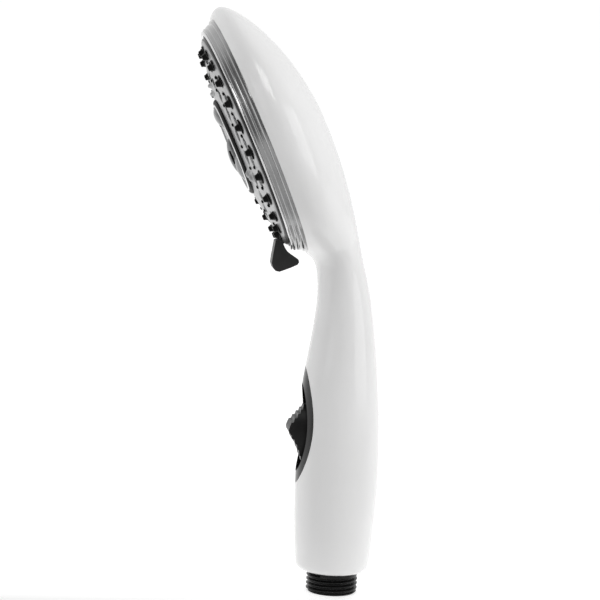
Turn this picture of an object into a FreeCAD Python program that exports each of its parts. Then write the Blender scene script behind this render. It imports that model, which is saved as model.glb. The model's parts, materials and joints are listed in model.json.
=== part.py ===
import FreeCAD, Part
import math
import os

# A handheld shower head. Millimetres. The origin is the centre of the inlet thread's open end,
# +Z runs up the handle, the spray face looks towards -Y and X is across the handle.

V = FreeCAD.Vector
UP = V(0, 0, 1)

# ---- driving dimensions ----
# hose thread, G 1/2
THREAD_R = 10.4775
THREAD_PITCH = 1.814
THREAD_DEPTH = 1.1
THREAD_CREST = 0.35
THREAD_LENGTH = 8.9
INLET_BORE_R = 6.5
INLET_BORE_DEPTH = 10.2
SPIGOT_R = 8.0
SPIGOT_TOP = 43.5
WATERWAY_R = 4.5

# casing
WALL = 2.5
CASING_BOTTOM = 9.0
FLOOR_TOP = 12.3
BOTTOM_ROUND = 3.6
NECK_HOLE_R = 9.05

# head: a pebble whose rim is cut square to the spray axis
HEAD_CENTRE = V(0, -44.2, 181.8)
HEAD_TILT = 25.2
HEAD_R = 53.4
RIM_R = 50.8
RIM_DEPTH = -5.8
WIDEST_DEPTH = -12.5
TOP_WIDEST_DEPTH = -10.0
BACK_REACH = 19.6
LOWER_BACK_DEPTH = -32.2
LOWER_BACK_RISE = 0.0022
LOWER_BACK_UP = -7.0
COLUMNS = 20

# switch in the front of the handle
SWITCH_Z = 68.6
PLATE_HALF_W = 11.9
PLATE_HALF_H = 23.9
PLATE_BACK_Y = -10.9
DISH_Z = 67.5
DISH_HALF_W = 9.3
DISH_HALF_H = 18.0
DISH_FLOOR_Y = -13.2
SLIDER_Z = 65.45
SLIDER_HALF_W = 7.0
SLIDER_HALF_H = 11.95
SLIDER_TRAVEL = 3.5
PIN_HALF = 1.7

# valve
VALVE_R = 10.6
VALVE_TOP = 98.0
SPOOL_Y = -4.5
SPOOL_R = 4.0
SPOOL_BORE_R = 4.08
RISER_Y = -3.0
RISER_R = 4.2
RISER_BORE_R = 3.0
RISER_DEPTH = -20.5

# turning spray face
FACE_R = 44.0
FACE_DOME = 5.8
FACE_DROP = 408.0
FACE_WALL = 2.0
NOZZLE_COUNT = 24
NOZZLE_RING_R = 39.2
NOZZLE_FIRST = -94.0
NOZZLE_TIP = 4.1
OUTER_DOT_R = 36.0
DOT_GROUP = 8
DOT_GROUP_START = 10
DOT_ASIDE = 2.9
INNER_DOT_R = 29.0
INNER_DOT_COUNT = 20
CENTRE_R = 20.0
DISC_R = 18.5
PAD_COUNT = 3
PAD_RING_R = 12.0
PAD_PHASE = 80.0
POST_R = 5.0
PIVOT_BORE_R = 5.06
PORT_RING_R = 19.0
DETENT_RING_R = 30.0
DETENT_ANGLE = 45.0
STEP_ANGLE = 30.0
CORE_SCREW_R = 38.0
FACE_SCREW_R = 25.2

LEVER_HALF_W = 4.6
CORE_SCREW_SHANK_R = 1.4
PIVOT_SCREW_R = 1.5

# levels in the head that several pieces share
CORE_FRONT = -12.5
BOSS_TOP = -15.0
POST_TOP = -5.6
MANIFOLD_BACK = -11.9
HUB_TOP = -6.1
BALL_DEPTH = -12.9


# ---- small helpers ----
def rod(radius, low, high, x=0.0, y=0.0):
    """A round bar along Z."""
    return Part.makeCylinder(radius, high - low, V(x, y, low))


def tube(outer, inner, low, high, x=0.0, y=0.0):
    """A round tube along Z."""
    return rod(outer, low, high, x, y).cut(rod(inner, low - 1, high + 1, x, y))


def turned(outline):
    """A solid turned about Z from (radius, height) points."""
    points = [V(r, 0, z) for r, z in outline]
    wire = Part.makePolygon(points + points[:1])
    return Part.Face(wire).revolve(V(0, 0, 0), UP, 360)


def o_ring(middle_r, wire_r, height, x=0.0, y=0.0):
    """A round rubber ring about Z."""
    return Part.makeTorus(middle_r, wire_r, V(x, y, height), UP)


def oval_prism(half_w, half_h, low_y, high_y, middle_z=SWITCH_Z):
    """An elliptical bar along Y through the front of the handle."""
    ellipse = Part.Ellipse(V(0, low_y, middle_z), half_h, half_w)
    ellipse.Axis = V(0, 1, 0)
    ellipse.XAxis = UP
    face = Part.Face(Part.Wire(ellipse.toShape()))
    return face.extrude(V(0, high_y - low_y, 0))


def polar(radius, degrees):
    """A point at a radius and angle; 0 degrees is +X, 90 is up the face."""
    angle = math.radians(degrees)
    return V(radius * math.cos(angle), radius * math.sin(angle), 0)


def around(make, count, radius, first):
    """Pieces made at evenly spaced places on a circle."""
    return [make(polar(radius, first + 360.0 * k / count)) for k in range(count)]


def fused(shapes):
    """All the shapes as one solid."""
    return shapes[0].multiFuse(shapes[1:]).removeSplitter()


def coil(radius, wire_r, low, high, turns, x=0.0, y=0.0):
    """A round-wire compression spring along Z."""
    pitch = (high - low - 2 * wire_r) / turns
    path = Part.Wire(Part.makeHelix(pitch, pitch * turns, radius).Edges)
    along = V(0, 2 * math.pi * radius, pitch)
    section = Part.Wire(Part.makeCircle(wire_r, V(radius, 0, 0), along))
    spring = path.makePipeShell([section], True, True)
    spring.translate(V(x, y, low + wire_r))
    return spring


HEAD_PLACE = FreeCAD.Placement(HEAD_CENTRE, FreeCAD.Rotation(V(1, 0, 0), 90 + HEAD_TILT))


def on_head(shape):
    """Moves a shape from the head's own frame: X across, Y up the face, Z out of it."""
    moved = shape.copy()
    moved.transformShape(HEAD_PLACE.toMatrix())
    return moved


def head_point(across, up, depth):
    """A point given in the head's own frame."""
    return HEAD_PLACE.multVec(V(across, up, depth))


# ---- casing ----
# Sections of the handle and neck from the bottom up:
# front y, z, back y, z, half-width and how far back the widest line lies.
HANDLE_SECTIONS = (
    (-15.1, 9.0, 14.5, 9.0, 14.75, 0.5),
    (-15.3, 11.0, 14.8, 11.0, 14.95, 0.5),
    (-15.6, 14.0, 15.2, 14.0, 15.3, 0.5),
    (-16.4, 24.0, 15.9, 24.0, 16.1, 0.5),
    (-17.0, 36.0, 16.5, 36.0, 16.6, 0.5),
    (-17.2, 48.0, 16.8, 48.0, 16.8, 0.5),
    (-17.2, 60.0, 16.5, 60.0, 16.8, 0.5),
    (-17.1, 72.0, 15.9, 72.0, 16.6, 0.5),
    (-16.5, 83.5, 14.9, 83.5, 16.2, 0.5),
    (-15.2, 94.0, 13.8, 94.0, 15.7, 0.5),
    (-13.8, 103.5, 12.6, 103.5, 15.1, 0.5),
    (-12.7, 112.2, 11.3, 112.2, 14.7, 0.5),
    (-12.1, 120.2, 9.7, 120.7, 14.6, 0.5),
    (-12.3, 127.0, 7.8, 128.5, 15.0, 0.5),
    (-13.0, 132.2, 5.6, 136.5, 16.4, 0.5),
)
# Sections under the head, square to the spray face:
# distance up the face, front depth (None where the rim sets it), half-width, widest depth.
LOWER_HEAD_SECTIONS = (
    (-54.2, -7.2, 19.2, -17.0),
    (-50.2, None, 23.4, -15.8),
    (-46.2, None, 28.6, -14.6),
    (-40.9, None, 34.9, -13.4),
)
HEAD_ANGLES = (-40, -30, -20, -10, 0, 10, 20, 30, 40, 50, 60, 70, 80, 86.667, 90)


def lower_back_depth(up):
    """Depth of the casing's back at a height below the head's middle."""
    return LOWER_BACK_DEPTH + LOWER_BACK_RISE * (up - LOWER_BACK_UP) ** 2


def upper_back_reach(angle):
    """How far the back stands behind the widest line, at an angle above the head's middle."""
    return BACK_REACH - 0.05 * angle - 0.00055 * angle ** 2


def head_section(up, front, width, widest, back, inset):
    """One section square to the spray face, as (front, back, half-width, widest share)."""
    width = max(width - inset, 0.0)
    if front is None:
        reach = math.sqrt(max(width ** 2 + up ** 2 - (RIM_R - inset) ** 2, 1e-9))
        front = widest + (RIM_DEPTH - widest) * width / reach
    else:
        front -= inset
    back += inset if width > 0 else 0.0
    share = (front - widest) / (front - back) if width > 0 else 0.5
    return head_point(0, up, front), head_point(0, up, back), width, share


def casing_sections(inset):
    """Every section of the casing, drawn in by inset, from the bottom to the head's top."""
    sections = []
    for front_y, front_z, back_y, back_z, width, share in HANDLE_SECTIONS:
        front, back = V(0, front_y, front_z), V(0, back_y, back_z)
        inward = (back - front).normalize() * inset
        sections.append((front + inward, back - inward, width - inset, share))
    for up, front, width, widest in LOWER_HEAD_SECTIONS:
        back = lower_back_depth(up)
        sections.append(head_section(up, front, width, widest, back, inset))
    radius = HEAD_R - inset
    for angle in HEAD_ANGLES:
        height = math.sin(math.radians(angle))
        chord = math.cos(math.radians(angle)) if angle < 90 else 0.0
        widest = WIDEST_DEPTH + (TOP_WIDEST_DEPTH - WIDEST_DEPTH) * max(height, 0) ** 2
        if angle < 0:
            back = lower_back_depth(HEAD_R * height) + inset
        else:
            back = widest - (upper_back_reach(angle) - inset) * chord
        run = math.sqrt(radius ** 2 - (RIM_R - inset) ** 2)
        front = widest + (RIM_DEPTH - widest) * radius * chord / run
        share = (front - widest) / (front - back) if chord else 0.5
        up = radius * height
        sections.append((head_point(0, up, front), head_point(0, up, back), radius * chord, share))
    return sections


def section_points(front, back, width, share):
    """Points around one section, starting at the front: two half ellipses that share a width."""
    points = []
    for k in range(COLUMNS):
        angle = 2 * math.pi * k / COLUMNS
        run = 1 - math.cos(angle)
        along = share * run if run <= 1 else share + (1 - share) * (run - 1)
        points.append(front + (back - front) * along + V(width * math.sin(angle), 0, 0))
    return points


def surface_through(rows):
    """A closed, smooth surface through rows of points, open only at the first row."""
    count = len(rows)
    knots = [float(k) for k in range(count - 2)]
    full = [0.0] * 3 + knots + [knots[-1]] * 3
    places = [sum(full[j + 1:j + 4]) / 3 for j in range(count)]
    around_knots = [float(k) for k in range(COLUMNS + 1)]
    poles = [list(row) for row in rows]
    for _ in range(12):
        columns = [[poles[j][(k - 1) % COLUMNS] for j in range(count)] for k in range(COLUMNS)]
        surface = Part.BSplineSurface()
        surface.buildFromPolesMultsKnots(
            columns, [1] * (COLUMNS + 1), [4] + [1] * (count - 4) + [4],
            around_knots, knots, True, False, 3, 3)
        for j in range(count):
            for k in range(COLUMNS):
                poles[j][k] = poles[j][k] + rows[j][k] - surface.value(k, places[j])
    return surface


def casing_solid(inset):
    """The casing's whole outer form, drawn in by inset, as a solid."""
    rows = [section_points(*section) for section in casing_sections(inset)]
    skin = surface_through(rows).toShape()
    rim = min(skin.Edges, key=lambda edge: edge.BoundBox.ZMax)
    shell = Part.Shell([skin, Part.Face(Part.Wire(rim))])
    shell.sewShape()
    solid = Part.Solid(shell)
    solid.fix(1e-4, 1e-4, 1e-4)
    return solid


def boss_places():
    """Where the screws that hold the spray core stand, in the head's frame."""
    return [polar(CORE_SCREW_R, 90 + 120 * k) for k in range(3)]


def handle_shell(outer):
    """The white casing: head, neck and handle in one shell, with three bosses inside."""
    bottom = [e for e in outer.Edges if e.BoundBox.ZMax < CASING_BOTTOM + 0.01]
    rounded = outer.makeFillet(BOTTOM_ROUND, bottom)
    below = Part.makeBox(60, 60, FLOOR_TOP, V(-30, -30, 0))
    bosses = [on_head(rod(3.5, -40, BOSS_TOP, p.x, p.y)) for p in boss_places()]
    cavity = casing_solid(WALL).cut(below).cut(bosses)
    shell = rounded.cut(cavity)
    face_opening = on_head(rod(HEAD_R - 1.9, RIM_DEPTH, 60))
    window = oval_prism(PLATE_HALF_W, PLATE_HALF_H, -30, -7)
    neck_hole = rod(NECK_HOLE_R, 0, FLOOR_TOP + 1)
    pilots = [on_head(rod(CORE_SCREW_SHANK_R, BOSS_TOP - 6, 0, p.x, p.y)) for p in boss_places()]
    return shell.cut([face_opening, window, neck_hole] + pilots)


# ---- hose connector and valve ----
def thread_groove():
    """The cutting body of the hose thread: a flat-bottomed V carried round a helix."""
    turns_length = THREAD_LENGTH + THREAD_PITCH
    path = Part.Wire(Part.makeHelix(THREAD_PITCH, turns_length, THREAD_R).Edges)
    half = (THREAD_PITCH - THREAD_CREST) / 2
    outside = half * 1.25
    corners = [V(THREAD_R + 0.3, 0, -outside), V(THREAD_R - THREAD_DEPTH, 0, -0.12),
               V(THREAD_R - THREAD_DEPTH, 0, 0.12), V(THREAD_R + 0.3, 0, outside)]
    groove = path.makePipeShell([Part.makePolygon(corners + corners[:1])], True, True)
    groove.translate(V(0, 0, -1.5 * THREAD_PITCH))
    return groove


def inlet_connector():
    """The black nipple: hose thread outside, strainer bore inside, spigot up into the valve."""
    body = turned([
        (INLET_BORE_R, 0), (THREAD_R - 1.0, 0), (THREAD_R, 0.9), (THREAD_R, THREAD_LENGTH),
        (NECK_HOLE_R - 0.05, THREAD_LENGTH), (NECK_HOLE_R - 0.05, FLOOR_TOP - 0.8),
        (SPIGOT_R, FLOOR_TOP - 0.1), (SPIGOT_R, SPIGOT_TOP), (WATERWAY_R, SPIGOT_TOP),
        (WATERWAY_R, INLET_BORE_DEPTH), (INLET_BORE_R, INLET_BORE_DEPTH)])
    seat = tube(SPIGOT_R + 1, SPIGOT_R - 1.2, 37.2, 38.8)
    return body.cut(thread_groove()).cut(seat)


def inlet_filter():
    """A strainer: a disc with rings of small holes, in a plain rim."""
    disc = rod(INLET_BORE_R - 0.1, 7.0, 7.8).fuse(tube(INLET_BORE_R - 0.1, 5.6, 7.8, 8.4))
    holes = [rod(0.45, 6, 9)]
    for count, radius in ((6, 1.7), (12, 3.3), (18, 4.8)):
        holes += around(lambda p: rod(0.45, 6, 9, p.x, p.y), count, radius, 0)
    return disc.cut(holes)


def valve_body():
    """The black pause valve: spool bore in front, rear bore up to the riser's socket."""
    body = rod(VALVE_R, FLOOR_TOP, VALVE_TOP)
    inlet = rod(SPIGOT_R + 0.05, FLOOR_TOP - 1, 44.0)
    spool_bore = rod(SPOOL_BORE_R, 43.0, 86.0, 0, SPOOL_Y)
    rear_bore = rod(3.0, 53.0, 89.0, 0, 5.5)
    port = Part.makeCylinder(2.2, 5.5 - SPOOL_Y, V(0, SPOOL_Y, 56.0), V(0, 1, 0))
    crossover = Part.makeCylinder(2.2, 5.5 - RISER_Y, V(0, RISER_Y, 88.8), V(0, 1, 0))
    socket = rod(RISER_R + 0.05, 88.8, VALVE_TOP + 1, 0, RISER_Y)
    seal_seat = rod(5.45, VALVE_TOP - 2.0, VALVE_TOP + 1, 0, RISER_Y)
    reach = PIN_HALF + SLIDER_TRAVEL + 0.5
    slot = Part.makeBox(4.0, 8.0, 2 * reach, V(-2.0, -12.0, SWITCH_Z - reach))
    return body.cut([inlet, spool_bore, rear_bore, port, crossover, socket, seal_seat, slot])


def valve_spool():
    """The sliding spool: two sealed lands and a waist that the slider's pin sits in."""
    spool = turned([
        (0, 57.5), (3.4, 57.5), (SPOOL_R, 58.3), (SPOOL_R, 61.0), (2.6, 61.0), (2.6, 62.5),
        (SPOOL_R, 62.5), (SPOOL_R, 66.5), (2.6, 66.5), (2.6, 70.7), (SPOOL_R, 70.7),
        (SPOOL_R, 75.0), (2.6, 75.0), (2.6, 76.5), (SPOOL_R, 76.5), (SPOOL_R, 80.0), (0, 80.0)])
    spool.translate(V(0, SPOOL_Y, 0))
    return spool


def spool_o_rings():
    """Two rings that seal the spool either side of the pin's dry slot."""
    return Part.makeCompound([o_ring(3.33, 0.7, z, 0, SPOOL_Y) for z in (61.75, 75.75)])


def riser_line():
    """The riser's centre line: straight up the handle, one bend, straight up behind the face."""
    socket_end = head_point(0, -29.0, RISER_DEPTH)
    up_face = (head_point(0, 1, 0) - head_point(0, 0, 0))
    corner = socket_end - up_face * ((socket_end.y - RISER_Y) / up_face.y)
    tangent = 19.0
    bend_in, bend_out = corner - UP * tangent, corner + up_face * tangent
    centre_gap = tangent / math.tan(math.radians(HEAD_TILT) / 2)
    middle = V(0, RISER_Y - centre_gap, bend_in.z)
    half = math.radians(HEAD_TILT) / 2
    on_arc = middle + V(0, math.cos(half), math.sin(half)) * centre_gap
    return Part.Wire([
        Part.LineSegment(V(0, RISER_Y, 89.5), bend_in).toShape(),
        Part.Arc(bend_in, on_arc, bend_out).toShape(),
        Part.LineSegment(bend_out, socket_end).toShape()])


def riser_tube():
    """The water tube from the valve to the spray core."""
    line = riser_line()
    shapes = []
    for radius in (RISER_R, RISER_BORE_R):
        section = Part.Wire(Part.makeCircle(radius, V(0, RISER_Y, 89.5), UP))
        shapes.append(line.makePipeShell([section], True, True))
    return shapes[0].cut(shapes[1])


def riser_seals():
    """An O-ring round each end of the riser."""
    lower = o_ring(4.83, 0.6, VALVE_TOP - 1.3, 0, RISER_Y)
    upper = Part.makeTorus(4.83, 0.6, V(0, -33.3, RISER_DEPTH), V(0, 1, 0))
    return Part.makeCompound([lower, on_head(upper)])


def switch_plate(outer):
    """The gloss oval plate, flush with the handle, with a dish and a slot for the pin."""
    block = outer.common(oval_prism(PLATE_HALF_W - 0.1, PLATE_HALF_H - 0.1, -30, PLATE_BACK_Y))
    dish = oval_prism(DISH_HALF_W, DISH_HALF_H, -30, DISH_FLOOR_Y, DISH_Z)
    reach = PIN_HALF + SLIDER_TRAVEL + 0.4
    slot = Part.makeBox(3.8, 12.0, 2 * reach, V(-1.9, -20.0, SWITCH_Z - reach))
    return block.cut([dish, slot])


def thumb_slider():
    """The black slider: a peak for the thumb with steps down both flanks, and its drive pin."""
    up_side = [(-14.4, 77.1), (-15.6, 77.0), (-15.9, 75.3), (-16.7, 75.2), (-16.9, 73.6),
               (-17.9, 73.5), (-18.2, 71.9), (-19.2, 71.8), (-19.6, 70.2), (-20.5, 70.0)]
    down_side = [(-21.3, 68.0), (-21.5, 67.0), (-21.3, 66.0), (-20.3, 64.9), (-20.0, 63.4),
                 (-19.0, 63.2), (-18.6, 61.4), (-17.9, 61.2), (-17.5, 59.0), (-16.9, 58.8),
                 (-16.5, 56.4), (-15.9, 56.2), (-15.6, 54.2), (-14.4, 53.8)]
    outline = [(-13.4, 77.4)] + up_side + down_side + [(-13.4, 53.5)]
    wire = Part.makePolygon([V(-8, y, z) for y, z in outline + outline[:1]])
    wedge = Part.Face(wire).extrude(V(16, 0, 0))
    oval = oval_prism(SLIDER_HALF_W, SLIDER_HALF_H, -30, -10, SLIDER_Z)
    pin = Part.makeBox(2 * PIN_HALF, 7.0, 2 * PIN_HALF, V(-PIN_HALF, -14.4, SWITCH_Z - PIN_HALF))
    return fused([wedge.common(oval), pin])


# ---- fixed parts in the head ----
def spray_core():
    """The fixed core: flange, pivot post, water inlet from below and one outlet port."""
    seal_y = -PORT_RING_R
    core = fused([
        rod(26.0, -22.0, CORE_FRONT), rod(FACE_R, BOSS_TOP, CORE_FRONT),
        rod(POST_R, -14.0, POST_TOP), Part.makeCylinder(6.7, 20, V(0, -34.6, RISER_DEPTH), V(0, 1, 0)),
        rod(3.6, -21.5, CORE_FRONT, detent_place().x, detent_place().y)])
    cuts = [
        Part.makeCylinder(RISER_R + 0.05, 10.0, V(0, -36.0, RISER_DEPTH), V(0, 1, 0)),
        Part.makeCylinder(RISER_BORE_R, 16.0, V(0, -30.0, RISER_DEPTH), V(0, 1, 0)),
        Part.makeCylinder(5.45, 3.0, V(0, -35.6, RISER_DEPTH), V(0, 1, 0)),
        rod(4.05, -19.0, 0, 0, seal_y),
        rod(PIVOT_SCREW_R, -16.0, 0),
        rod(1.6, -20.5, 0, detent_place().x, detent_place().y)]
    for place in boss_places():
        cuts.append(rod(CORE_SCREW_SHANK_R + 0.15, -20, 0, place.x, place.y))
        cuts.append(rod(3.1, -14.1, 0, place.x, place.y))
    return on_head(core.cut(cuts))


def detent_place():
    """Where the click ball stands."""
    return polar(DETENT_RING_R, DETENT_ANGLE)


def core_screws():
    """Three pan-head screws that hold the core to the casing."""
    screws = []
    for place in boss_places():
        head = rod(3.0, -14.05, -12.7, place.x, place.y)
        cross = [Part.makeBox(3.4, 0.6, 1, V(place.x - 1.7, place.y - 0.3, -13.3)),
                 Part.makeBox(0.6, 3.4, 1, V(place.x - 0.3, place.y - 1.7, -13.3))]
        screws.append(fused([head, rod(CORE_SCREW_SHANK_R, -20.5, -13.5, place.x, place.y)]).cut(cross))
    return on_head(Part.makeCompound(screws))


def outlet_seal():
    """The rubber sleeve that bears on the turning manifold's back."""
    return on_head(tube(4.0, 2.2, -15.9, -12.02, 0, -PORT_RING_R))


def detent_ball():
    """The click ball, in its pocket with its crown standing out of the core."""
    place = detent_place()
    return on_head(Part.makeSphere(1.5, V(place.x, place.y, BALL_DEPTH)))


def bezel_ring():
    """The stepped ring round the face: three steps, a rolled lip and a spigot into the casing."""
    outline = [
        (45.3, -8.6), (48.1, -8.6), (48.1, RIM_DEPTH), (49.7, RIM_DEPTH), (49.5, -4.7),
        (48.9, -4.3), (48.5, -4.25), (48.4, -3.2), (48.2, -2.9), (48.2, -2.7), (47.7, -2.4),
        (47.6, -1.3), (47.3, -1.05), (46.9, -1.05), (46.75, -0.85), (46.9, -0.5), (46.8, -0.25),
        (46.4, -0.1), (45.8, -0.05), (45.35, -0.2), (45.1, -0.55), (45.1, -8.6)]
    return on_head(turned(outline))


def pivot_screw():
    """The cross-head screw in the pivot post."""
    head = turned([(0, -4.85), (4.0, -4.85), (4.0, -3.9), (3.2, -3.1), (0, -2.9)])
    cross = [Part.makeBox(4.4, 0.8, 2, V(-2.2, -0.4, -3.9)), Part.makeBox(0.8, 4.4, 2, V(-0.4, -2.2, -3.9))]
    return on_head(fused([head, rod(PIVOT_SCREW_R, -15.0, -4.5)]).cut(cross))


# ---- turning face ----
def dome(radius):
    """Height of the face's dome at a radius."""
    return FACE_DOME - radius ** 2 / FACE_DROP


def screw_posts(radius, low, high):
    """Posts or holes on the three places of the face screws."""
    return around(lambda p: rod(radius, low, high, p.x, p.y), 3, FACE_SCREW_R, 90)


def lever_blank(grow):
    """The lever's form, grown all round by a gap: a paddle that flares to a rounded foot."""
    outline = [(-40.8, -1.7), (-40.8, 4.1), (-43.6, 5.9), (-46.2, 7.6), (-48.6, 9.0),
               (-50.4, 9.2), (-52.1, 8.7), (-53.0, 7.4), (-53.25, 3.0), (-53.2, -0.3), (-52.5, -1.4),
               (-51.3, -1.5), (-49.0, 0.0), (-46.6, 1.35), (-44.6, 1.7), (-43.2, 1.7), (-43.2, -1.7)]
    wire = Part.makePolygon([V(0, t, d) for t, d in outline + outline[:1]])
    half = LEVER_HALF_W + grow
    blade = Part.Face(wire).extrude(V(2 * half, 0, 0))
    blade.translate(V(-half, 0, 0))
    return blade


def face_plate():
    """The domed face: holes for every nozzle, a seat in the middle and posts behind."""
    outline = [(CENTRE_R + 0.2, dome(CENTRE_R + 0.2))]
    outline += [(r, dome(r)) for r in (24, 28, 32, 36, 40, 42.2)]
    outline += [(43.2, 1.05), (43.8, 0.5), (FACE_R, -0.3), (FACE_R, -5.9), (42.6, -5.9), (42.6, -0.1)]
    outline += [(r, dome(r) - FACE_WALL) for r in (40, 36, 32, 28, 24, 21.5)]
    outline += [(21.5, 1.4), (DISC_R + 0.1, 1.4), (DISC_R + 0.1, 2.6), (CENTRE_R + 0.2, 2.6)]
    plate = turned(outline)
    posts = screw_posts(2.4, -9.85, 4.0)
    holes = around(lambda p: rod(1.9, -1, 8, p.x, p.y), NOZZLE_COUNT, NOZZLE_RING_R, NOZZLE_FIRST)
    holes += [rod(0.75, -1, 8, p.x, p.y) for p in outer_dots() + inner_dots()]
    pilots = screw_posts(1.0, -12, 1.5)
    plate = fused([plate] + posts).cut(holes + pilots)
    return on_head(plate.cut(lever_blank(0.0)))


def outer_dots():
    """Places of the outer small outlets: each stands close to one of its two nozzles."""
    places = []
    pitch = 360.0 / NOZZLE_COUNT
    for k in range(NOZZLE_COUNT):
        lower_half = (DOT_GROUP_START - k) % DOT_GROUP < DOT_GROUP / 2
        aside = DOT_ASIDE if lower_half else -DOT_ASIDE
        places.append(polar(OUTER_DOT_R, NOZZLE_FIRST + (k - 0.5) * pitch + aside))
    return places


def inner_dots():
    """Places of the inner small outlets."""
    return around(lambda p: p, INNER_DOT_COUNT, INNER_DOT_R, 0)


def nozzle(place):
    """One rubber nozzle: a tapered nub with its outlet down the middle."""
    outline = [(0.45, -1.6), (1.6, -1.6), (1.6, dome(NOZZLE_RING_R)), (1.1, NOZZLE_TIP), (0.45, NOZZLE_TIP)]
    nub = turned(outline)
    nub.translate(place)
    return nub


def small_outlets(places, ring_r):
    """Small soft outlets that stand a little out of the face."""
    return [rod(0.6, -1.0, dome(ring_r) + 0.5, p.x, p.y) for p in places]


def nozzle_mat():
    """The outer rubber mat: large nozzles and the outer ring of dots."""
    sheet = tube(42.2, 34.2, -1.6, -0.2)
    nubs = around(nozzle, NOZZLE_COUNT, NOZZLE_RING_R, NOZZLE_FIRST)
    small = small_outlets(outer_dots(), OUTER_DOT_R)
    holes = around(lambda p: rod(0.45, -3, 8, p.x, p.y), NOZZLE_COUNT, NOZZLE_RING_R, NOZZLE_FIRST)
    return on_head(fused([sheet] + nubs + small).cut(holes).cut(lever_blank(0.3)))


def inner_nozzle_mat():
    """The inner rubber mat with its ring of dots."""
    sheet = tube(33.8, 23.0, -1.6, -0.2)
    small = small_outlets(inner_dots(), INNER_DOT_R)
    return on_head(fused([sheet] + small).cut(screw_posts(2.5, -3, 1)))


def dial_manifold():
    """The channels behind the face: a ported disc, a pivot hub, walls and ribs."""
    back, disc_top, rim_top = MANIFOLD_BACK, MANIFOLD_BACK + 2.0, -1.9
    ribs = []
    for k in range(5):
        rib = Part.makeBox(17.4, 1.2, rim_top - disc_top + 0.5, V(23.4, -0.6, disc_top - 0.5))
        rib.rotate(V(0, 0, 0), UP, 72 * k + 54)
        ribs.append(rib)
    body = fused([
        rod(42.2, back, disc_top), tube(42.2, 40.4, disc_top, -6.4), tube(41.0, 39.4, disc_top, rim_top),
        tube(23.6, 22.2, disc_top, rim_top), rod(8.6, disc_top, HUB_TOP)] + ribs)
    cuts = [rod(PIVOT_BORE_R, back - 1, 0)]
    for k in range(5):
        place = polar(PORT_RING_R, 270 + STEP_ANGLE * (k - 2))
        cuts.append(rod(2.1, back - 1, disc_top + 1, place.x, place.y))
    cuts.append(tube(DETENT_RING_R + 1.9, DETENT_RING_R - 1.9, back - 1, back + 0.8))
    for k in range(5):
        place = polar(DETENT_RING_R, DETENT_ANGLE + STEP_ANGLE * (k - 2))
        cuts.append(Part.makeSphere(1.9, V(place.x, place.y, BALL_DEPTH + 0.2)))
    cuts += screw_posts(2.5, disc_top - 0.3, 5)
    cuts += screw_posts(2.7, back - 1, back + 1.2)
    cuts += screw_posts(1.2, back, disc_top + 1)
    return on_head(body.cut(cuts))


def face_screws():
    """Three screws from behind that hold the manifold to the face."""
    heads = screw_posts(2.5, MANIFOLD_BACK + 0.15, MANIFOLD_BACK + 1.2)
    shanks = screw_posts(1.0, MANIFOLD_BACK + 1.0, 1.0)
    return on_head(Part.makeCompound([fused([h, s]) for h, s in zip(heads, shanks)]))


def centre_ring():
    """The thick black ring round the middle of the face."""
    outline = [(DISC_R + 0.1, 2.65), (CENTRE_R + 0.1, 2.65), (CENTRE_R + 0.1, 5.6), (CENTRE_R - 0.2, 6.0),
               (DISC_R + 0.5, 6.0), (DISC_R + 0.1, 5.8)]
    return on_head(turned(outline))


def jet_pad(place):
    """One oval raised pad of the middle disc."""
    pad = Part.makeSphere(4.0, V(0, 0, 0))
    shape = FreeCAD.Matrix()
    shape.scale(V(1.3, 1.1, 0.75))
    pad = pad.transformGeometry(shape)
    pad.rotate(V(0, 0, 0), UP, math.degrees(math.atan2(place.y, place.x)))
    pad.translate(place + V(0, 0, 5.2))
    return pad


def centre_disc():
    """The raised middle disc with its oval pads, and a socket for the turbine's pin."""
    outline = [(0, 4.6), (DISC_R, 4.6), (DISC_R, 6.2), (DISC_R - 0.6, 6.4), (DISC_R - 1.4, 5.9),
               (10.0, 5.9), (0, 6.2)]
    disc = turned(outline)
    pads = around(jet_pad, PAD_COUNT, PAD_RING_R, PAD_PHASE)
    below = rod(DISC_R, -5, 4.6)
    slots = around(lambda p: jet_slot(p, 0.1, 3.0), PAD_COUNT, PAD_RING_R, PAD_PHASE)
    return on_head(fused([disc] + pads).cut([below] + slots + [rod(1.0, 4.0, 5.6)]))


def jet_slot(place, grow, low):
    """The oval opening through one pad, or the insert that fills it."""
    slot = fused([rod(0.8 + grow, low, 9.4, 0, -1.3), rod(0.8 + grow, low, 9.4, 0, 1.3),
                  Part.makeBox(1.6 + 2 * grow, 2.6, 9.4 - low, V(-0.8 - grow, -1.3, low))])
    slot.rotate(V(0, 0, 0), UP, math.degrees(math.atan2(place.y, place.x)))
    slot.translate(V(place.x, place.y, 0))
    return slot


def centre_jets():
    """The black jet inserts, one in each pad."""
    jets = around(lambda p: jet_slot(p, 0.0, 4.6), PAD_COUNT, PAD_RING_R, PAD_PHASE)
    trim = rod(DISC_R, 4.6, 8.1)
    return on_head(Part.makeCompound([jet.common(trim) for jet in jets]))


def turbine_cup():
    """The cup round the turbine, with slanted inlets through its floor."""
    cup = fused([rod(14.6, -2.6, -1.7), tube(14.6, 13.2, -2.6, 4.5)])
    slits = []
    for k in range(4):
        slit = Part.makeBox(1.6, 4.5, 4, V(7.5, -2.2, -4))
        slit.rotate(V(0, 0, 0), UP, 90 * k)
        slits.append(slit)
    return on_head(cup.cut(slits + [rod(1.0, -3, 0)]))


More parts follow.
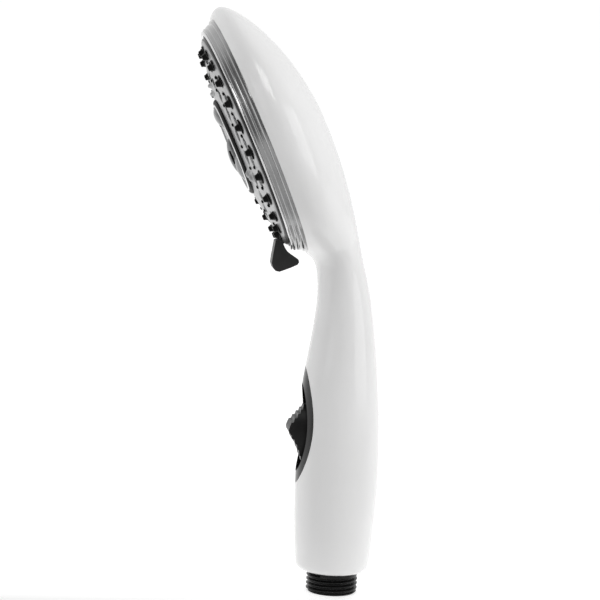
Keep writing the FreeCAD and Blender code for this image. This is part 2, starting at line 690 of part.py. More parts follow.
def turbine_wheel():
    """The free-running wheel that chops the pulsing spray."""
    blades = []
    for k in range(6):
        blade = Part.makeBox(8.6, 1.2, 3.4, V(2.4, -0.6, -0.9))
        blade.rotate(V(2.4, 0, 0), V(1, 0, 0), 12)
        blade.rotate(V(0, 0, 0), UP, 60 * k)
        blades.append(blade)
    shutter = rod(11.6, 2.6, 3.4).common(Part.makeBox(30, 15, 10, V(-15, 0, 0)))
    wheel = fused([rod(3.0, -1.2, 3.6), shutter] + blades)
    return on_head(wheel.cut(rod(1.06, -3, 6)))


def main():
    """Builds every piece and writes it to its own file."""
    outer = casing_solid(0.0)
    ball = detent_place()
    pieces = {
        "handle_shell": handle_shell(outer),
        "inlet_connector": inlet_connector(),
        "inlet_o_ring": o_ring(7.43, 0.6, 38.0),
        "inlet_filter": inlet_filter(),
        "flow_restrictor": tube(INLET_BORE_R - 0.1, 2.2, 8.5, 10.1),
        "valve_body": valve_body(),
        "valve_spool": valve_spool(),
        "spool_o_rings": spool_o_rings(),
        "switch_plate": switch_plate(outer),
        "thumb_slider": thumb_slider(),
        "riser_tube": riser_tube(),
        "riser_seals": riser_seals(),
        "spray_core": spray_core(),
        "core_screws": core_screws(),
        "outlet_seal": outlet_seal(),
        "seal_spring": on_head(coil(3.1, 0.45, -18.9, -16.0, 2, 0, -PORT_RING_R)),
        "detent_ball": detent_ball(),
        "detent_spring": on_head(coil(1.1, 0.2, -20.4, -14.5, 6, ball.x, ball.y)),
        "bezel_ring": bezel_ring(),
        "pivot_screw": pivot_screw(),
        "pivot_washer": on_head(tube(8.0, 1.6, -5.55, -4.9)),
        "dial_manifold": dial_manifold(),
        "dial_seal": on_head(o_ring(41.8, 0.78, -5.6)),
        "face_screws": face_screws(),
        "face_plate": face_plate(),
        "nozzle_mat": nozzle_mat(),
        "inner_nozzle_mat": inner_nozzle_mat(),
        "selector_lever": on_head(lever_blank(0.0)),
        "centre_ring": centre_ring(),
        "centre_disc": centre_disc(),
        "centre_jets": centre_jets(),
        "turbine_cup": turbine_cup(),
        "turbine_pin": on_head(rod(1.0, -2.6, 5.5)),
        "turbine_wheel": turbine_wheel(),
    }
    os.makedirs("parts", exist_ok=True)
    for name, shape in pieces.items():
        shape.exportStep("parts/" + name + ".step")


main()
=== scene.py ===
"""A handheld shower head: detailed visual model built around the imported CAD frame."""
import json
import math

import bpy
import numpy as np
from mathutils import Matrix, Vector


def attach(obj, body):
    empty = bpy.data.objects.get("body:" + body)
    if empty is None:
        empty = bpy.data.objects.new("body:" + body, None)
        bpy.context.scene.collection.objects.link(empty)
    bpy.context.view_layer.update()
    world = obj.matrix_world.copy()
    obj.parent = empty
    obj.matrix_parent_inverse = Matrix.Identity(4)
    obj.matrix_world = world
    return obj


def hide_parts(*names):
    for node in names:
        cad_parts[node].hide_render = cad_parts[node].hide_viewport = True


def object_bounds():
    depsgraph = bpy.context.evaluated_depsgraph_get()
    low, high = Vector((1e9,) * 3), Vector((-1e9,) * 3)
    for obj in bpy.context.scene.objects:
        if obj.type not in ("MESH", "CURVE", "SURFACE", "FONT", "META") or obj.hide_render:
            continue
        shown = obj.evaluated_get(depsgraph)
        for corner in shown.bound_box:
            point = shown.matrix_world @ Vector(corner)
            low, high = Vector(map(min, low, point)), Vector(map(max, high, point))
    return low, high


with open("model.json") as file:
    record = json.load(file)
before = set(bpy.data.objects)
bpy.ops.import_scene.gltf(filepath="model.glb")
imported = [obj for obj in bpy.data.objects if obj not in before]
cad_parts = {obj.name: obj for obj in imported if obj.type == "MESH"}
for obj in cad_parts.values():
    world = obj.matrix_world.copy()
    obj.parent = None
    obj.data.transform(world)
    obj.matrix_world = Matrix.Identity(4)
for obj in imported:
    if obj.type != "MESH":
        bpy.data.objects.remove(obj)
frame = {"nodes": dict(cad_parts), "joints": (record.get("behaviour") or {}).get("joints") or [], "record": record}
cad_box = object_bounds()

MM = 0.001

# turning face, in millimetres in the head's own frame: X across, Y up the face, Z out of it
FACE_R = 44.0
FACE_DOME = 5.8
FACE_DROP = 408.0
NOZZLE_COUNT = 24
NOZZLE_RING_R = 39.2
NOZZLE_FIRST = -94.0
NOZZLE_TIP = 4.1
PAD_R = 40.0
PAD_HALF_LENGTH = 2.9
PAD_HALF_WIDTH = 1.7
OUTER_DOT_R = 36.0
INNER_DOT_R = 29.0
INNER_DOT_COUNT = 20
# eight gaps between nozzles make a group: the dot stands near the upper nozzle in four of them
DOT_GROUP = 8
DOT_GROUP_START = 10
DOT_ASIDE = 2.9
GROOVE_ASIDE = 1.6
PAD_PROUD = 0.45
DOT_PROUD = 0.45
FACE_TOP_R = 42.21
FACE_GRID = 0.24
FACE_SEGMENTS = 720
FACE_THICKNESS = 2.2
RING_SEGMENTS = 288
# depths cut into the face, and how deep a place lies before it takes the darker silver, painted shade in the
# recesses
POCKET_DEPTH = 0.35
DIMPLE_DEPTH = 0.3
OUTER_GROOVE_DEPTH = 1.5
INNER_GROOVE_DEPTH = 1.6
MOUND_HEIGHT = 1.4
MOUND_ANGLES = (90.0, 210.0, 330.0)
GROOVE_SHADE_FROM = -0.12
RING_OUTER_R = 20.1
DISC_R = 18.5
LOBE_R = 12.6
LOBE_ANGLES = (80.0, 200.0, 320.0)
LOBE_SKEW = 14.0
LOBE_HEIGHT = 2.5
SLOT_INSET = 2.1
DISC_BASE = 4.6


# ---- mesh helpers ----
def head_matrix():
    """From the head's own frame in millimetres to the scene."""
    joint = next(j for j in frame["joints"] if j["name"] == "face_turn")
    out = Vector(joint["axis"]).normalized()
    across = Vector((1, 0, 0))
    turn = Matrix((across, out.cross(across), out)).transposed().to_4x4()
    return Matrix.Translation(joint["pos_m"]) @ turn @ Matrix.Scale(MM, 4)


HEAD = head_matrix()


def add_piece(name, points, faces, material, body, slot, place=HEAD):
    """A mesh object from points in millimetres, smooth, riding on a body."""
    mesh = bpy.data.meshes.new(name)
    mesh.from_pydata([tuple(p) for p in points], [], faces)
    mesh.transform(place)
    mesh.validate()
    mesh.update()
    for polygon in mesh.polygons:
        polygon.use_smooth = True
    mesh.materials.append(material)
    piece = bpy.data.objects.new(name, mesh)
    bpy.context.scene.collection.objects.link(piece)
    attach(piece, body)
    return piece


def soften(piece, width, angle=28.0, segments=3):
    """Rounds the piece's sharp edges and keeps its flats flat."""
    bevel = piece.modifiers.new("rounded_edges", "BEVEL")
    bevel.width = width * MM
    bevel.segments = segments
    bevel.limit_method = "ANGLE"
    bevel.angle_limit = math.radians(angle)
    bevel.use_clamp_overlap = True
    normals = piece.modifiers.new("flat_faces", "WEIGHTED_NORMAL")
    normals.keep_sharp = False
    normals.weight = 80
    return piece


def rounded_outline(points, radius, steps=4, closed=True):
    """The outline with every corner rounded by a short curve."""
    result = []
    count = len(points)
    for k, point in enumerate(points):
        if not closed and k in (0, count - 1):
            result.append(point)
            continue
        here = Vector(point)
        before = Vector(points[k - 1]) - here
        after = Vector(points[(k + 1) % count]) - here
        reach = min(radius, 0.45 * before.length, 0.45 * after.length)
        start = here + before.normalized() * reach
        end = here + after.normalized() * reach
        for j in range(steps + 1):
            t = j / steps
            result.append(tuple(start * (1 - t) ** 2 + here * 2 * t * (1 - t) + end * t ** 2))
    return result


def grid_faces(rows, columns, close_rows, close_columns, base=0):
    """Quads of a grid whose rows and columns may close on themselves."""
    faces = []
    for i in range(rows if close_rows else rows - 1):
        for j in range(columns if close_columns else columns - 1):
            a = i * columns + j
            b = i * columns + (j + 1) % columns
            c = ((i + 1) % rows) * columns + (j + 1) % columns
            d = ((i + 1) % rows) * columns + j
            faces.append((base + a, base + b, base + c, base + d))
    return faces


def turned(outline, segments):
    """Points and faces of a closed (radius, height) outline turned about Z."""
    points = []
    for radius, height in outline:
        for k in range(segments):
            angle = 2 * math.pi * k / segments
            points.append((radius * math.cos(angle), radius * math.sin(angle), height))
    return points, grid_faces(len(outline), segments, True, True)


def turned_cap(outline, segments):
    """Points and faces of a solid whose outline starts and ends on Z."""
    ring = outline[1:-1]
    points, _ = turned(ring, segments)
    faces = grid_faces(len(ring), segments, False, True)
    low = len(points)
    points += [(0, 0, outline[0][1]), (0, 0, outline[-1][1])]
    last = (len(ring) - 1) * segments
    for k in range(segments):
        following = (k + 1) % segments
        faces.append((low, following, k))
        faces.append((low + 1, last + k, last + following))
    return points, faces


def merged(parts):
    """Several (points, faces) pairs as one."""
    points, faces = [], []
    for part_points, part_faces in parts:
        base = len(points)
        points += part_points
        faces += [tuple(base + index for index in face) for face in part_faces]
    return points, faces


def moved(part, x, y, z=0.0, angle=0.0):
    """A (points, faces) pair turned about Z and moved."""
    turn, points = math.radians(angle), []
    for px, py, pz in part[0]:
        points.append((px * math.cos(turn) - py * math.sin(turn) + x,
                       px * math.sin(turn) + py * math.cos(turn) + y, pz + z))
    return points, part[1]


def on_ring(radius, degrees):
    """A place on a circle about the head's axis."""
    angle = math.radians(degrees)
    return radius * math.cos(angle), radius * math.sin(angle)


def smooth_step(value, low, high):
    """0 below low, 1 above high and a smooth rise between, for arrays."""
    t = np.clip((value - low) / (high - low), 0.0, 1.0)
    return t * t * (3 - 2 * t)


# ---- materials ----
def start_material(name):
    """A new node material: its tree, its shader and its object coordinates."""
    material = bpy.data.materials.new(name)
    material.use_nodes = True
    tree = material.node_tree
    shader = tree.nodes["Principled BSDF"]
    place = tree.nodes.new("ShaderNodeTexCoord")
    return material, tree, shader, place.outputs["Object"]


def noise(tree, coordinates, scale, detail=3.0):
    """A noise texture's value in object space."""
    node = tree.nodes.new("ShaderNodeTexNoise")
    node.inputs["Scale"].default_value = scale
    node.inputs["Detail"].default_value = detail
    tree.links.new(coordinates, node.inputs["Vector"])
    return node.outputs["Fac"]


def spread(tree, value, low, high, target):
    """Feeds a noise value, stretched to low..high, into a socket."""
    node = tree.nodes.new("ShaderNodeMapRange")
    node.inputs["From Min"].default_value = 0.3
    node.inputs["From Max"].default_value = 0.7
    node.inputs["To Min"].default_value = low
    node.inputs["To Max"].default_value = high
    tree.links.new(value, node.inputs["Value"])
    tree.links.new(node.outputs["Result"], target)


def tint(tree, value, dark, light, shader):
    """Colours the shader between two tones by a noise value."""
    ramp = tree.nodes.new("ShaderNodeValToRGB")
    ramp.color_ramp.elements[0].position = 0.3
    ramp.color_ramp.elements[0].color = (*dark, 1)
    ramp.color_ramp.elements[1].position = 0.7
    ramp.color_ramp.elements[1].color = (*light, 1)
    tree.links.new(value, ramp.inputs["Fac"])
    tree.links.new(ramp.outputs["Color"], shader.inputs["Base Color"])


def relief(tree, value, strength, depth, shader):
    """A shallow bump from a noise value, its depth in millimetres."""
    bump = tree.nodes.new("ShaderNodeBump")
    bump.inputs["Strength"].default_value = strength
    bump.inputs["Distance"].default_value = depth * MM
    tree.links.new(value, bump.inputs["Height"])
    tree.links.new(bump.outputs["Normal"], shader.inputs["Normal"])


def surface(name, dark, light, rough, mottle, grain, bump, metallic=0.0, coat=0.0, level=0.5):
    """A moulded or plated finish: mottled tone and gloss, and a fine surface grain."""
    material, tree, shader, coordinates = start_material(name)
    shader.inputs["Metallic"].default_value = metallic
    shader.inputs["Coat Weight"].default_value = coat
    shader.inputs["Coat Roughness"].default_value = 0.06
    shader.inputs["Specular IOR Level"].default_value = level
    clouds = noise(tree, coordinates, mottle)
    tint(tree, clouds, dark, light, shader)
    spread(tree, noise(tree, coordinates, mottle * 3.1), rough[0], rough[1], shader.inputs["Roughness"])
    relief(tree, noise(tree, coordinates, grain, 2.0), bump[0], bump[1], shader)
    return material


def grey(value, warm=0.0):
    """A neutral tone, a little warmer or cooler."""
    return (value + warm, value, value - warm)


MATERIALS = {
    "casing_white": surface("casing_white", grey(0.84, 0.002), grey(0.87, 0.001), (0.11, 0.17), 30, 420,
                            (0.04, 0.03), coat=0.12, level=0.4),
    "fitting_black": surface("fitting_black", grey(0.004), grey(0.008), (0.22, 0.32), 120, 2600,
                             (0.25, 0.02), level=0.25),
    "gloss_black": surface("gloss_black", grey(0.005), grey(0.009), (0.1, 0.18), 60, 500,
                           (0.05, 0.02), level=0.4),
    "ring_black": surface("ring_black", grey(0.005), grey(0.009), (0.45, 0.55), 80, 900,
                          (0.08, 0.02), level=0.2),
    "slider_black": surface("slider_black", grey(0.005), grey(0.010), (0.36, 0.48), 150, 3200,
                            (0.35, 0.03), level=0.25),
    "lever_black": surface("lever_black", grey(0.012), grey(0.020), (0.34, 0.46), 150, 3000,
                           (0.3, 0.03)),
    "ring_chrome": surface("ring_chrome", grey(0.34, -0.001), grey(0.40, -0.001), (0.1, 0.17), 90, 1500,
                           (0.06, 0.02), metallic=0.92),
    # a lighter copy of the chrome for the bezel's lip and the disc's rim: painted highlight lines
    "highlight_chrome": surface("highlight_chrome", grey(0.72, -0.001), grey(0.80, -0.001), (0.1, 0.16), 90, 1500,
                             (0.05, 0.02), metallic=0.95),
    "face_silver": surface("face_silver", grey(0.30, -0.002), grey(0.35, -0.002), (0.26, 0.36), 140, 4200,
                           (0.22, 0.015), metallic=0.85),
    # a darker copy of the face's silver for the faces cut deepest: painted shade in the grooves, pockets and
    # dimples
    "groove_shade_silver": surface("groove_shade_silver", grey(0.09, -0.001), grey(0.12, -0.001), (0.24, 0.34), 140, 4200,
                             (0.22, 0.015), metallic=0.9),
    "disc_silver": surface("disc_silver", grey(0.16, -0.002), grey(0.21, -0.002), (0.16, 0.24), 160, 4200,
                           (0.18, 0.015), metallic=0.92),
    # a black finish for the band round the face's rim: painted shade on the rim's wall
    "edge_shade_black": surface("edge_shade_black", grey(0.020), grey(0.032), (0.3, 0.4), 200, 2600, (0.2, 0.02)),
    "nozzle_rubber": surface("nozzle_rubber", grey(0.002), grey(0.004), (0.28, 0.38), 300, 3800,
                             (0.3, 0.02), level=0.12),
    "seal_rubber": surface("seal_rubber", grey(0.014), grey(0.024), (0.5, 0.62), 250, 3000, (0.3, 0.02)),
    "inner_plastic": surface("inner_plastic", grey(0.44, 0.01), grey(0.52, 0.01), (0.4, 0.5), 80, 1800,
                             (0.2, 0.02)),
    "screw_steel": surface("screw_steel", grey(0.50), grey(0.62), (0.24, 0.36), 400, 2500,
                           (0.15, 0.01), metallic=1.0),
    "mesh_steel": surface("mesh_steel", grey(0.46, 0.01), grey(0.58, 0.01), (0.3, 0.42), 500, 3000,
                          (0.2, 0.01), metallic=1.0),
}


def finish_cad_nodes():
    """Gives every CAD node the material of its slot."""
    for row in frame["record"]["subparts"]:
        node = frame["nodes"][row["node"]]
        for slot in node.material_slots:
            slot.material = MATERIALS[row["material_slot"]]


# ---- bezel ----
def build_bezel():
    """The stepped ring: rear step, two fine beads, a wide band and a rolled lip in lighter chrome, a painted
    highlight.
    """
    outline = [
        (45.3, -8.6), (48.1, -8.6), (48.1, -5.85), (49.75, -5.8), (49.55, -4.75), (49.0, -4.35),
        (48.5, -4.25), (48.4, -3.3), (48.15, -2.95), (48.2, -2.7), (47.7, -2.4), (47.62, -1.35),
        (47.3, -1.05), (46.9, -1.05), (46.75, -0.85), (46.2, -0.8), (45.5, -0.8), (45.15, -0.9),
        (45.15, -8.6)]
    points, faces = turned(rounded_outline(outline, 0.14, 3), RING_SEGMENTS)
    piece = add_piece("bezel", points, faces, MATERIALS["ring_chrome"], "handset", "ring_chrome")
    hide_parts("bezel_ring")
    # the lip in the lighter chrome: a painted highlight line
    lip = [(45.2, -1.0), (46.7, -1.0), (46.92, -0.55), (46.85, -0.25), (46.45, -0.1), (45.8, -0.07),
           (45.35, -0.2), (45.15, -0.55)]
    points, faces = turned(rounded_outline(lip, 0.14, 3), RING_SEGMENTS)
    add_piece("bezel_lip", points, faces, MATERIALS["highlight_chrome"], "handset", "ring_chrome")


# ---- turning face ----
def dome(radius):
    """Height of the face's dome at a radius."""
    return FACE_DOME - radius ** 2 / FACE_DROP


def nozzle_angles():
    """Angles of the large nozzles."""
    return [NOZZLE_FIRST + 360.0 * k / NOZZLE_COUNT for k in range(NOZZLE_COUNT)]


def outer_gaps():
    """Each gap between two nozzles: the angle of its small dot and of its groove's middle."""
    gaps = []
    for k, upper in enumerate(nozzle_angles()):
        place = (DOT_GROUP_START - k) % DOT_GROUP
        beside = -1 if place < DOT_GROUP / 2 else 1
        middle = upper - 180.0 / NOZZLE_COUNT
        gaps.append((middle - beside * DOT_ASIDE, middle + beside * GROOVE_ASIDE))
    return gaps


def inner_dot_angles():
    """Angles of the inner dots."""
    return [360.0 * k / INNER_DOT_COUNT for k in range(INNER_DOT_COUNT)]


def leaf(across, along, half_length, half_width, edge):
    """A pointed oval's depth from 0 at its rim to 1 inside, for arrays."""
    width = half_width * (1 - np.clip(along / half_length, -1, 1) ** 2)
    return smooth_step(width - np.abs(across), 0.0, edge)


def face_relief(radius, angle):
    """How far the face stands above its dome: pockets, grooves, dimples and mounds."""
    height = np.zeros_like(radius)

    def local(ring, degrees):
        offset = np.angle(np.exp(1j * (angle - math.radians(degrees))))
        return radius - ring, offset * ring

    for degrees in nozzle_angles():
        across, along = local(PAD_R, degrees)
        height -= POCKET_DEPTH * leaf(across, along, PAD_HALF_LENGTH + 0.5, PAD_HALF_WIDTH + 0.35, 0.4)
    for dot_angle, groove_angle in outer_gaps():
        across, along = local(OUTER_DOT_R + 0.4, groove_angle)
        height -= OUTER_GROOVE_DEPTH * leaf(across, along, 3.2, 1.9, 0.7)
        across, along = local(OUTER_DOT_R, dot_angle)
        height -= DIMPLE_DEPTH * (1 - smooth_step(np.hypot(across, along), 0.6, 1.35))
    for degrees in inner_dot_angles():
        across, along = local(INNER_DOT_R + 0.6, degrees + 180.0 / INNER_DOT_COUNT)
        height -= INNER_GROOVE_DEPTH * leaf(across, along, 3.5, 2.0, 0.7)
        across, along = local(INNER_DOT_R, degrees)
        height -= DIMPLE_DEPTH * (1 - smooth_step(np.hypot(across, along), 0.6, 1.35))
    for degrees in MOUND_ANGLES:
        for ring in (22.7, 26.0):
            across, along = local(ring, degrees)
            height += MOUND_HEIGHT * (1 - smooth_step(np.hypot(across, 0.55 * along), 0.3, 1.6))
    return height


def build_face_plate():
    """The domed, turning face with its relief, its rounded edge and its hollow back."""
    segments = FACE_SEGMENTS
    tops = np.arange(RING_OUTER_R + 0.1, FACE_TOP_R, FACE_GRID)
    edge = [(42.8, 1.28), (43.2, 1.2), (43.5, 1.0), (43.7, 0.75), (43.82, 0.45), (43.9, 0.1),
            (FACE_R, -0.4)]
    back = [(FACE_R, -5.9), (42.6, -5.9), (42.6, -0.1), (40.0, dome(40.0) - 2.0),
            (30.0, dome(30.0) - FACE_THICKNESS), (21.5, dome(21.5) - FACE_THICKNESS), (21.5, 1.4),
            (18.7, 1.4), (18.7, 2.6), (RING_OUTER_R + 0.1, 2.6)]
    outline = [(r, dome(r)) for r in tops] + edge + back
    angles = np.linspace(0, 2 * math.pi, segments, endpoint=False)
    ring_r = np.array([r for r, _ in outline])[:, None] * np.ones(segments)
    ring_h = np.array([h for _, h in outline])[:, None] * np.ones(segments)
    count = len(tops)
    around = np.ones(count)[:, None] * angles
    relief_height = face_relief(ring_r[:count], around)
    ring_h[:count] += relief_height
    points = np.stack([ring_r * np.cos(angles), ring_r * np.sin(angles), ring_h], -1).reshape(-1, 3)
    faces = grid_faces(len(outline), segments, True, True)
    piece = add_piece("domed_face", points.tolist(), faces, MATERIALS["face_silver"], "dial", "face_silver")
    # faces cut deeper than the threshold take the darker silver, painted shade in the grooves, pockets and dimples
    piece.data.materials.append(MATERIALS["groove_shade_silver"])
    for index in np.flatnonzero(relief_height < GROOVE_SHADE_FROM):
        piece.data.polygons[int(index)].material_index = 1
    sharpen(piece, 38)
    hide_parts("face_plate")
    # a black band round the face's rim, painted shade where the rim's wall lies in shadow
    band = rounded_outline([
        (43.5, 0.8), (44.0, 0.75), (44.25, 0.35), (44.25, -2.0), (43.5, -2.0)], 0.15, 3)
    points, faces = turned(band, RING_SEGMENTS)
    add_piece("face_edge_shade_band", points, faces, MATERIALS["edge_shade_black"], "dial", "nozzle_rubber")


def sharpen(piece, degrees):
    """Keeps edges sharper than the angle crisp."""
    piece.data.set_sharp_from_angle(angle=math.radians(degrees))


def pad(half_length, half_width, low, high, steps=24):
    """A pointed oval pad along Y with a rounded top edge."""
    outline = []
    for k in range(2 * steps):
        side = 1 if k < steps else -1
        t = side * (-1 + 2 * (k % steps) / steps)
        outline.append((side * half_width * (1 - t * t), half_length * t))
    rows = [(1.0, low), (1.0, high - 0.12), (0.94, high - 0.03), (0.82, high)]
    points = [(x * grow, y * grow, z) for grow, z in rows for x, y in outline]
    faces = grid_faces(len(rows), 2 * steps, False, True)
    for row, order in ((0, -1), (len(rows) - 1, 1)):
        first = row * 2 * steps
        faces.append(tuple(range(first, first + 2 * steps))[::order])
    return points, faces


def nub(base, tip):
    """A tapered nozzle with a rounded tip and its outlet."""
    outline = [
        (0, base - 1.5), (1.75, base - 1.5), (1.72, base + 0.2), (1.5, base + 0.75), (1.22, tip - 0.7),
        (1.14, tip - 0.22), (1.0, tip - 0.04), (0.82, tip), (0.62, tip - 0.04), (0.52, tip - 0.3),
        (0.48, tip - 1.3), (0, tip - 1.35)]
    return turned_cap(outline, 32)


def dot(top):
    """A small soft outlet."""
    outline = [(0, top - 2.0), (0.66, top - 2.0), (0.64, top - 0.22), (0.55, top - 0.06), (0.4, top),
               (0.24, top - 0.05), (0.2, top - 0.6), (0, top - 0.62)]
    return turned_cap(outline, 20)


def build_nozzles():
    """The rubber nozzles and outlets that show through the face."""
    outer = []
    for degrees in nozzle_angles():
        x, y = on_ring(PAD_R, degrees)
        top = dome(PAD_R)
        leaf_pad = pad(PAD_HALF_LENGTH, PAD_HALF_WIDTH, top - 1.2, top + PAD_PROUD)
        outer.append(moved(leaf_pad, x, y, 0, degrees))
        x, y = on_ring(NOZZLE_RING_R, degrees)
        outer.append(moved(nub(dome(NOZZLE_RING_R), NOZZLE_TIP), x, y))
    for degrees, _ in outer_gaps():
        outer.append(moved(dot(dome(OUTER_DOT_R) + DOT_PROUD), *on_ring(OUTER_DOT_R, degrees)))
    piece = add_piece("outer_nozzles", *merged(outer), MATERIALS["nozzle_rubber"], "dial", "nozzle_rubber")
    sharpen(piece, 50)
    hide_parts("nozzle_mat")
    inner = [moved(dot(dome(INNER_DOT_R) + DOT_PROUD), *on_ring(INNER_DOT_R, degrees))
             for degrees in inner_dot_angles()]
    piece = add_piece("inner_outlets", *merged(inner), MATERIALS["nozzle_rubber"], "dial", "nozzle_rubber")
    sharpen(piece, 50)
    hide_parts("inner_nozzle_mat")


def lobe_field(x, y, degrees):
    """Local coordinates of a lobe of the middle disc: out along the radius and round it."""
    cx, cy = on_ring(LOBE_R, degrees)
    turn = math.radians(degrees - LOBE_SKEW)
    dx, dy = x - cx, y - cy
    return dx * math.cos(turn) + dy * math.sin(turn), -dx * math.sin(turn) + dy * math.cos(turn)


def disc_height(x, y):
    """Height of the middle disc: dished, with a bright rim and three swooping lobes."""
    radius = np.hypot(x, y)
    height = 4.9 + 0.9 * smooth_step(radius, 8.0, 17.0)
    height += 0.45 * smooth_step(radius, 16.9, 17.5)
    height -= 0.35 * smooth_step(radius, DISC_R - 0.35, DISC_R)
    height += 0.5 * (1 - smooth_step(radius, 2.2, 4.2))
    for degrees in LOBE_ANGLES:
        out, along = lobe_field(x, y, degrees)
        sweep = np.clip(1 - (along / 7.6) ** 2 - (np.where(out < 0, out / 3.9, out / 4.6)) ** 2, 0, 1)
        height += LOBE_HEIGHT * np.sqrt(sweep) * (0.75 + 0.25 * sweep)
        height -= 0.9 * leaf(out + SLOT_INSET, along, 3.0, 0.75, 0.35)
    return height


def build_centre():
    """The middle of the face: the silver disc, its black slots and the black ring round it."""
    segments = 300
    radii = np.append(np.arange(0.35, DISC_R - 0.3, 0.3), [DISC_R - 0.15, DISC_R])
    angles = np.linspace(0, 2 * math.pi, segments, endpoint=False)
    x, y = radii[:, None] * np.cos(angles), radii[:, None] * np.sin(angles)
    top = np.stack([x, y, disc_height(x, y)], -1).reshape(-1, 3).tolist()
    faces = grid_faces(len(radii), segments, False, True)
    count = len(top)
    middle_height = float(disc_height(np.array(0.0), np.array(0.0)))
    bottom = [(DISC_R * math.cos(a), DISC_R * math.sin(a), DISC_BASE) for a in angles]
    top += bottom + [(0, 0, middle_height), (0, 0, DISC_BASE)]
    last = count - segments
    for k in range(segments):
        following = (k + 1) % segments
        faces.append((last + k, last + following, count + following, count + k))
        faces.append((count + segments, following, k))
        faces.append((count + segments + 1, count + k, count + following))
    piece = add_piece("middle_disc", top, faces, MATERIALS["disc_silver"], "dial", "disc_silver")
    sharpen(piece, 40)
    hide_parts("centre_disc")
    # the disc's rim in the lighter chrome: a painted highlight line
    rim = [(17.6, 5.6), (18.48, 5.6), (18.48, 6.2), (18.2, 6.42), (17.85, 6.42), (17.6, 6.25)]
    points, faces = turned(rounded_outline(rim, 0.12, 3), 256)
    add_piece("middle_rim", points, faces, MATERIALS["highlight_chrome"], "dial", "disc_silver")
    jets = []
    for degrees in LOBE_ANGLES:
        cx, cy = on_ring(LOBE_R, degrees)
        turn = math.radians(degrees - LOBE_SKEW)
        x, y = cx - SLOT_INSET * math.cos(turn), cy - SLOT_INSET * math.sin(turn)
        level = float(disc_height(np.array(x), np.array(y)))
        jets.append(moved(pad(2.9, 0.72, level - 1.0, level + 1.1), x, y, 0, degrees - LOBE_SKEW))
    piece = add_piece("middle_slots", *merged(jets), MATERIALS["nozzle_rubber"], "dial", "nozzle_rubber")
    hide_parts("centre_jets")
    outline = rounded_outline([
        (DISC_R + 0.02, 2.65), (RING_OUTER_R, 2.65), (RING_OUTER_R, 5.35), (DISC_R + 0.75, 6.1),
        (DISC_R + 0.02, 6.1)], 0.2, 4)
    points, faces = turned(outline, 256)
    piece = add_piece("middle_ring", points, faces, MATERIALS["ring_black"], "dial", "gloss_black")
    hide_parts("centre_ring")


# ---- small CAD nodes whose edges only need rounding ----
def round_cad_edges():
    """Softens the sharp edges of the lever, the slider and the switch plate."""
    soften(frame["nodes"]["selector_lever"], 0.7, segments=4)
    soften(frame["nodes"]["thumb_slider"], 0.28)
    soften(frame["nodes"]["switch_plate"], 0.3)


# ---- stage ----
def floor_material():
    """Pale matt paper that glows a little behind the object, as a light table does."""
    material = surface("floor_pale", grey(0.72), grey(0.74), (0.75, 0.85), 3, 60, (0.02, 0.05), level=0.1)
    tree = material.node_tree
    shader = tree.nodes["Principled BSDF"]
    place = tree.nodes.new("ShaderNodeTexCoord")
    split = tree.nodes.new("ShaderNodeSeparateXYZ")
    glow = tree.nodes.new("ShaderNodeMapRange")
    glow.interpolation_type = "SMOOTHSTEP"
    glow.inputs["From Min"].default_value = 0.07
    glow.inputs["From Max"].default_value = -0.02
    glow.inputs["To Min"].default_value = 0.0
    glow.inputs["To Max"].default_value = 0.72
    tree.links.new(place.outputs["Object"], split.inputs["Vector"])
    tree.links.new(split.outputs["X"], glow.inputs["Value"])
    tree.links.new(glow.outputs["Result"], shader.inputs["Emission Strength"])
    shader.inputs["Emission Color"].default_value = (1, 1, 1, 1)
    return material


def build_stage():
    """A pale seamless floor."""
    low = cad_box[0].z
    floor = bpy.data.meshes.new("floor")
    size = 4.0
    floor.from_pydata([(-size, -size, low), (size, -size, low), (size, size, low), (-size, size, low)],
                      [], [(0, 1, 2, 3)])
    floor.materials.append(floor_material())
    stage = bpy.data.objects.new("floor", floor)
    bpy.context.scene.collection.objects.link(stage)


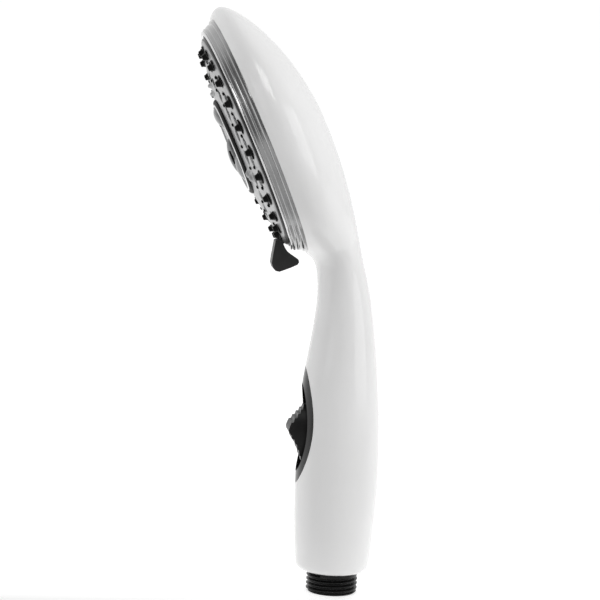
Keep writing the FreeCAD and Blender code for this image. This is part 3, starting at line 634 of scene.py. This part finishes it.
def build_world():
    """A bright surround: brightest behind the object and above, dimmer on the camera's side."""
    world = bpy.data.worlds.new("studio")
    bpy.context.scene.world = world
    world.use_nodes = True
    tree = world.node_tree
    place = tree.nodes.new("ShaderNodeTexCoord")
    split = tree.nodes.new("ShaderNodeSeparateXYZ")
    tree.links.new(place.outputs["Generated"], split.inputs["Vector"])
    ramp = tree.nodes.new("ShaderNodeMapRange")
    ramp.interpolation_type = "SMOOTHSTEP"
    ramp.inputs["From Min"].default_value = -0.45
    ramp.inputs["From Max"].default_value = 0.3
    ramp.inputs["To Min"].default_value = 0.88
    ramp.inputs["To Max"].default_value = 0.18
    tree.links.new(split.outputs["X"], ramp.inputs["Value"])
    seen = tree.nodes.new("ShaderNodeLightPath")
    choice = tree.nodes.new("ShaderNodeMix")
    choice.inputs["B"].default_value = 1.02
    tree.links.new(seen.outputs["Is Camera Ray"], choice.inputs["Factor"])
    tree.links.new(ramp.outputs["Result"], choice.inputs["A"])
    tree.links.new(choice.outputs["Result"], tree.nodes["Background"].inputs["Strength"])
    tree.nodes["Background"].inputs["Color"].default_value = (1, 1, 1, 1)


def soft_light(name, place, target, size, power):
    """A square soft box aimed at a point."""
    data = bpy.data.lights.new(name, "AREA")
    data.size = size
    data.energy = power
    lamp = bpy.data.objects.new(name, data)
    lamp.location = place
    lamp.rotation_euler = (Vector(target) - Vector(place)).to_track_quat("-Z", "Y").to_euler()
    bpy.context.scene.collection.objects.link(lamp)


def build_lights():
    """A key light on the casing's side, a weak fill on the spray face's side, and one from above."""
    middle = (cad_box[0] + cad_box[1]) / 2
    soft_light("key", (0.6, 1.05, 0.45), middle, 1.1, 7.0)
    soft_light("fill", (0.7, -1.0, 0.35), middle, 0.5, 0.6)
    soft_light("top", (0.8, -0.2, 1.0), middle, 0.6, 4.5)


def build_camera():
    """The camera at the photograph's viewing angle."""
    side, rise, roll = math.radians(5.8), math.radians(5.2), math.radians(3.0)
    back = Vector((math.cos(side) * math.cos(rise), -math.sin(side) * math.cos(rise), math.sin(rise)))
    right = Vector((math.sin(side), math.cos(side), 0.0))
    up = back.cross(right)
    right, up = (right * math.cos(roll) + up * math.sin(roll), up * math.cos(roll) - right * math.sin(roll))
    target = Vector((0.0, -0.019035, 0.119287))
    data = bpy.data.cameras.new("camera")
    data.lens = 115.7
    data.clip_start = 0.01
    camera = bpy.data.objects.new("camera", data)
    camera.matrix_world = Matrix.Translation(target + 0.78 * back) @ \
        Matrix((right, up, back)).transposed().to_4x4()
    bpy.context.scene.collection.objects.link(camera)
    bpy.context.scene.camera = camera


finish_cad_nodes()
build_bezel()
build_face_plate()
build_nozzles()
build_centre()
round_cad_edges()
build_stage()
build_world()
build_lights()
build_camera()
bpy.context.scene.view_settings.view_transform = "Standard"
